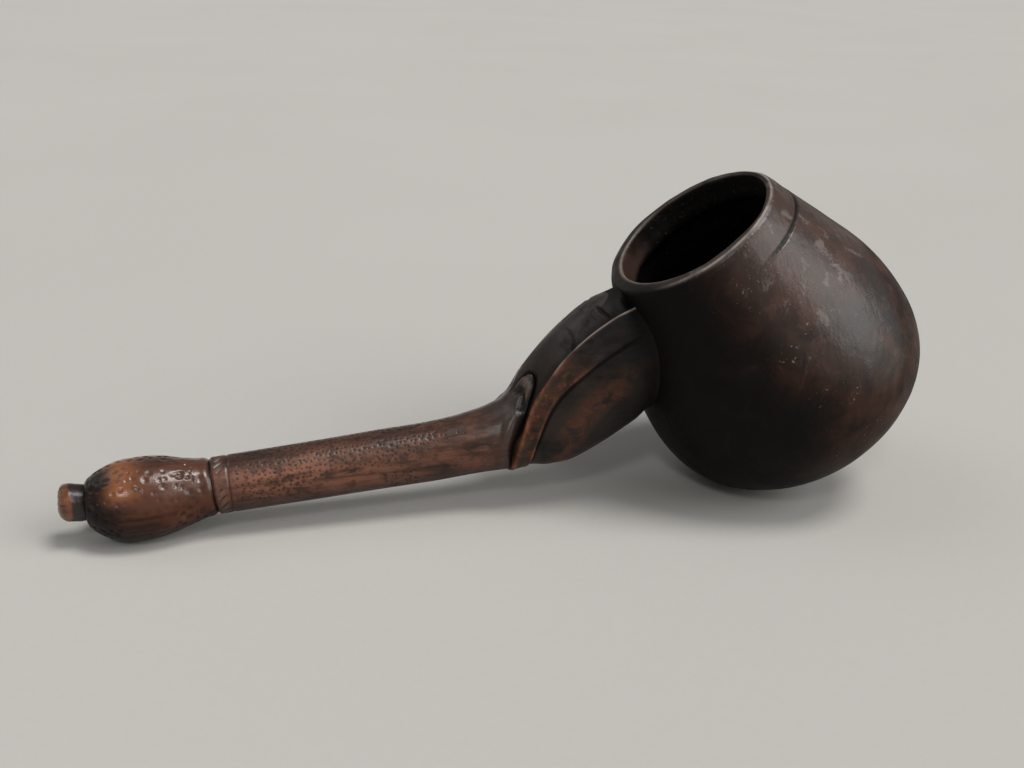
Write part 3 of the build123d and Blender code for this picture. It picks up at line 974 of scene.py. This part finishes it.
def neck_material():
    m = Nodes("neck_wood", (0.0075, 0.0064, 0.0062))
    broad = m.noise(24, 3, 0.55, offset=0.07, distort=0.4)
    grain = m.noise(2.4, 3, 0.6, (0.12, 1, 1), 0.11, 0.1, (0, math.radians(NECK_RISE), 0))
    blotch = m.noise(7, offset=0.21, distort=0.6)
    m.paint((0.026, 0.0195, 0.017), m.between(broad, 0.35, 0.65))
    m.paint((0.038, 0.024, 0.018), m.between(grain, 0.4, 0.75, 0, 0.5))
    m.paint((0.056, 0.047, 0.047), m.mark("pale"), m.between(blotch, 0.36, 0.6, 0.3, 1.0), 0.8)
    # reddish painted highlight on the swell of the lower lobe
    belly = m.times(m.mark("belly"), m.between(blotch, 0.35, 0.6))
    m.paint((0.078, 0.03, 0.0165), belly, 0.8)
    band = m.times(m.mark("band"), m.between(blotch, 0.36, 0.6, 0.2, 1.0))
    m.paint((0.075, 0.031, 0.016), band, 0.75)
    small = m.between(m.noise(3.0, 4, 0.65, offset=0.51, distort=0.5), 0.5, 0.62)
    # orange flecks on the band and, half as strong, on the painted highlight of the lower lobe
    m.paint((0.15, 0.052, 0.026), m.maths("MAXIMUM", band, m.times(belly, 0.5)), small, 0.7)
    groove = m.mark("groove")
    # painted shade in cuts and creases, partly dark wood near the bowl
    m.paint((0.0035, 0.003, 0.003), groove, 0.92)
    patchy = m.between(m.noise(5, offset=0.33), 0.32, 0.58, 0.25, 1.0)
    m.paint((0.22, 0.085, 0.042), m.mark("wear_and_highlight"), patchy)
    # painted highlight along the band's upper edge
    m.paint((0.4, 0.33, 0.28), m.mark("edge_highlight"), 0.8)
    rough = m.between(m.noise(11, offset=0.4), 0.3, 0.7, 0.34, 0.5)
    rough = m.maths("ADD", rough, m.times(groove, 0.3))
    m.bump(m.noise(4, 4, 0.55, offset=0.6), 0.35, 0.8)
    m.bump(grain, 0.1, 0.6)
    return m.finish(rough, specular=0.16)


def shaft_material():
    m = Nodes("handle_wood", (0.06, 0.024, 0.0165))
    broad = m.noise(30, 3, 0.55, (0.5, 1, 1), 0.07, 0.3)
    grain = m.noise(1.7, 4, 0.6, (0.045, 1, 1), 0.11, 0.15)
    long_grain = m.noise(4.5, 3, 0.6, (0.09, 1, 1), 0.17, 0.3)
    blotch = m.noise(9, 3, 0.6, (0.55, 1, 1), 0.21, 0.6)
    m.paint((0.24, 0.098, 0.06), m.between(broad, 0.35, 0.66))
    m.paint((0.028, 0.013, 0.009), m.between(long_grain, 0.42, 0.66, 0, 0.8))
    m.paint((0.2, 0.088, 0.048), m.between(grain, 0.42, 0.72, 0, 0.6))
    m.paint((0.019, 0.0105, 0.0085), m.between(blotch, 0.55, 0.68, 0, 0.85))
    m.paint((0.3, 0.105, 0.042), m.between(m.noise(13, 3, 0.6, (0.6, 1, 1), 0.5), 0.6, 0.72, 0, 0.6))
    flecks = m.between(m.noise(2.6, 4, 0.7, (0.6, 1, 1), 0.62, 0.4), 0.47, 0.6, 0, 0.75)
    clusters = m.between(m.noise(12, 3, 0.6, (0.6, 1, 1), 0.77), 0.38, 0.56, 0.25, 1.0)
    m.paint((0.036, 0.018, 0.0125), flecks, clusters)
    pit = m.mark("pit")
    # painted shade underneath and along the very top
    m.paint((0.026, 0.0125, 0.0095), m.mark("under"), 0.78)
    m.paint((0.034, 0.0235, 0.0195), m.mark("neckness"), 0.92)
    # dots painted darker: painted shade in them
    m.paint((0.016, 0.009, 0.0075), pit, 0.85)
    # painted shade in the cuts and the curl's hollow
    m.paint((0.0045, 0.0035, 0.003), m.mark("groove"), 0.92)
    # partly wear, partly painted highlight on the ridges
    m.paint((0.2, 0.12, 0.095), m.mark("wear_and_highlight"), 0.38)
    rough = m.between(m.noise(11, offset=0.4), 0.3, 0.7, 0.28, 0.45)
    rough = m.maths("ADD", rough, m.times(pit, 0.35))
    m.bump(m.noise(3.5, 4, 0.55, (0.5, 1, 1), 0.6), 0.25, 0.7)
    m.bump(grain, 0.09, 0.6)
    return m.finish(rough, specular=0.24, coat=m.times(m.mark("gloss"), 0.5))


def knob_material():
    m = Nodes("knob_wood", (0.03, 0.0125, 0.0085))
    broad = m.noise(17, 3, 0.55, (0.7, 1, 1), 0.07, 0.3)
    grain = m.noise(1.8, 4, 0.6, (0.06, 1, 1), 0.11, 0.15)
    blotch = m.noise(10, offset=0.26, distort=0.5)
    m.paint((0.085, 0.031, 0.0165), m.between(broad, 0.35, 0.65))
    m.paint((0.115, 0.043, 0.022), m.between(grain, 0.42, 0.75, 0, 0.5))
    m.paint((0.26, 0.088, 0.03), m.mark("amber"), m.between(blotch, 0.3, 0.55, 0.3, 1.0), 0.85)
    m.paint((0.17, 0.058, 0.026), m.between(blotch, 0.58, 0.72, 0, 0.6))
    # scorched end, and painted shade underneath
    m.paint((0.0055, 0.0042, 0.004), m.mark("scorch_and_shade"), m.between(blotch, 0.4, 0.65, 1.0, 0.85), 0.95)
    # dimples painted darker: painted shade in them
    m.paint((0.02, 0.0085, 0.0065), m.mark("pit"), 0.6)
    m.paint((0.004, 0.003, 0.003), m.mark("groove"), 0.92)
    m.bump(m.noise(3.0, 4, 0.55, offset=0.6), 0.14, 0.7)
    m.bump(grain, 0.05, 0.5)
    rough = m.between(m.noise(8, offset=0.4), 0.3, 0.7, 0.27, 0.42)
    return m.finish(rough, specular=0.14, coat=m.times(m.mark("gloss"), 0.9), coat_roughness=0.25)


def button_material():
    m = Nodes("peg_wood", (0.07, 0.028, 0.015))
    broad = m.noise(8, 3, 0.55, offset=0.07, distort=0.3)
    grain = m.noise(1.2, 4, 0.6, (0.12, 1, 1), 0.11, 0.15)
    m.paint((0.19, 0.068, 0.03), m.between(broad, 0.35, 0.65))
    m.paint((0.19, 0.075, 0.035), m.between(grain, 0.42, 0.75, 0, 0.5))
    m.paint((0.23, 0.088, 0.036), m.mark("face"), 0.6)
    m.paint((0.26, 0.11, 0.055), m.mark("wear_and_highlight"), 0.4)
    m.paint((0.012, 0.0095, 0.0095), m.mark("scorch_and_shade"), 0.94)
    m.paint((0.006, 0.004, 0.0035), m.mark("groove"), 0.9)
    m.bump(m.noise(1.6, 4, 0.6, offset=0.6), 0.2, 0.6)
    rough = m.between(m.noise(5, offset=0.4), 0.3, 0.7, 0.2, 0.34)
    return m.finish(rough, specular=0.42, coat=0.05)


def hidden_material():
    m = Nodes("hidden_wood", (0.16, 0.08, 0.045))
    grain = m.noise(1.2, 3, 0.6, (0.2, 1, 1), 0.11)
    m.paint((0.26, 0.14, 0.08), m.between(grain, 0.35, 0.7))
    m.bump(grain, 0.05, 0.5)
    return m.finish(0.55)


def floor_material():
    m = Nodes("pale_floor", (0.508, 0.497, 0.475))
    cloud = m.noise(420, 2, 0.5, offset=0.4)
    grit = m.noise(3.0, offset=0.1)
    m.paint((0.522, 0.511, 0.489), m.between(cloud, 0.3, 0.7))
    m.paint((0.45, 0.44, 0.42), m.between(grit, 0.3, 0.7, 0, 0.12))
    m.bump(grit, 0.05, 0.4)
    return m.finish(0.85, specular=0.1)


# ---------------- put the pieces in place
made = (
    (make_bowl(), "bowl", "bowl_wood", bowl_material),
    (make_neck(), "neck_bracket", "neck_wood", neck_material),
    (make_shaft(), "handle_shaft", "handle_wood", shaft_material),
    (make_knob(), "end_knob", "knob_wood", knob_material),
    (make_button(), "end_peg", "peg_wood", button_material),
    (make_dowels(), "neck_dowels", "hidden_wood", hidden_material),
)
for piece, node, slot_name, material in made:
    piece.data.materials.clear()
    piece.data.materials.append(material())
    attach(piece, "root")
    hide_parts(node)


# ---------------- floor, light and camera
def disc(name, radius, depth, corners=128):
    """Flat round slab whose top is at the table's height."""
    mesh = bpy.data.meshes.new(name)
    turn = full_turn(corners)
    points = [(radius * math.cos(a), radius * math.sin(a), z) for z in (-depth, 0) for a in turn]
    sides = [(i, (i + 1) % corners, corners + (i + 1) % corners, corners + i) for i in range(corners)]
    caps = [tuple(range(corners - 1, -1, -1)), tuple(range(corners, 2 * corners))]
    mesh.from_pydata(points, [], sides + caps)
    thing = put(name, mesh)
    thing.location = (0, 0, start_low.z)
    mesh.materials.append(floor_material())
    return thing


floor = disc("floor", 8.0, 0.02)


def soft_sun(name, azimuth, elevation, spread, power, colour):
    """Even light from one side of the sky. Azimuth 0 is +X, 90 is +Y."""
    lamp = bpy.data.lights.new(name, "SUN")
    lamp.angle = math.radians(spread)
    lamp.energy = power
    lamp.color = colour
    thing = put(name, lamp)
    a, e = math.radians(azimuth), math.radians(elevation)
    towards = Vector((math.cos(a) * math.cos(e), math.sin(a) * math.cos(e), math.sin(e)))
    thing.rotation_euler = towards.to_track_quat("Z", "Y").to_euler()


soft_sun("window", -35, 31, 46, 1.55, (1.0, 0.99, 0.97))
soft_sun("overhead", -25, 70, 22, 1.55, (1.0, 0.985, 0.96))
soft_sun("lamp", -118, 43, 9, 0.38, (1.0, 0.99, 0.97))
soft_sun("far_side", 150, 48, 40, 0.3, (0.96, 0.98, 1.0))

# a dim room that brightens to the floor's own tone low down, so the horizon stays quiet
room = Nodes("soft_room", (1.0, 0.985, 0.95), bpy.data.worlds, "Background")
direction = room.add("TexCoord", {}).outputs["Generated"]
height = room.add("SeparateXYZ", {"Vector": direction}).outputs["Z"]
brightness = room.between(height, 0.05, 0.34, 0.46, 0.18)
bpy.context.scene.world = room.shade({"Strength": brightness, "Color": room.colour})

# the photograph's camera: turns in degrees, place in mm around the bowl's middle
AZIMUTH, PITCH, ROLL = (math.radians(turn) for turn in (-15.7, 21.7, 1.39))
CAMERA_PLACE, CAMERA_LENS = Vector((-232.1, -403.0, 218.4)), 38.67
back = Vector((math.sin(AZIMUTH) * math.cos(PITCH), -math.cos(AZIMUTH) * math.cos(PITCH), math.sin(PITCH)))
right = Vector((math.cos(AZIMUTH), math.sin(AZIMUTH), 0))
up = back.cross(right)
right_rolled = right * math.cos(ROLL) + up * math.sin(ROLL)
up_rolled = up * math.cos(ROLL) - right * math.sin(ROLL)
camera_data = bpy.data.cameras.new("camera")
camera_data.lens = CAMERA_LENS
camera_data.sensor_width = 36
camera_data.clip_start = 0.01
camera = put("camera", camera_data)
turned = Matrix((right_rolled, up_rolled, back)).transposed().to_4x4()
camera.matrix_world = Matrix.Translation((CAMERA_PLACE + SHIFT) * MM) @ turned
bpy.context.scene.camera = camera
bpy.context.scene.view_settings.view_transform = "Standard"
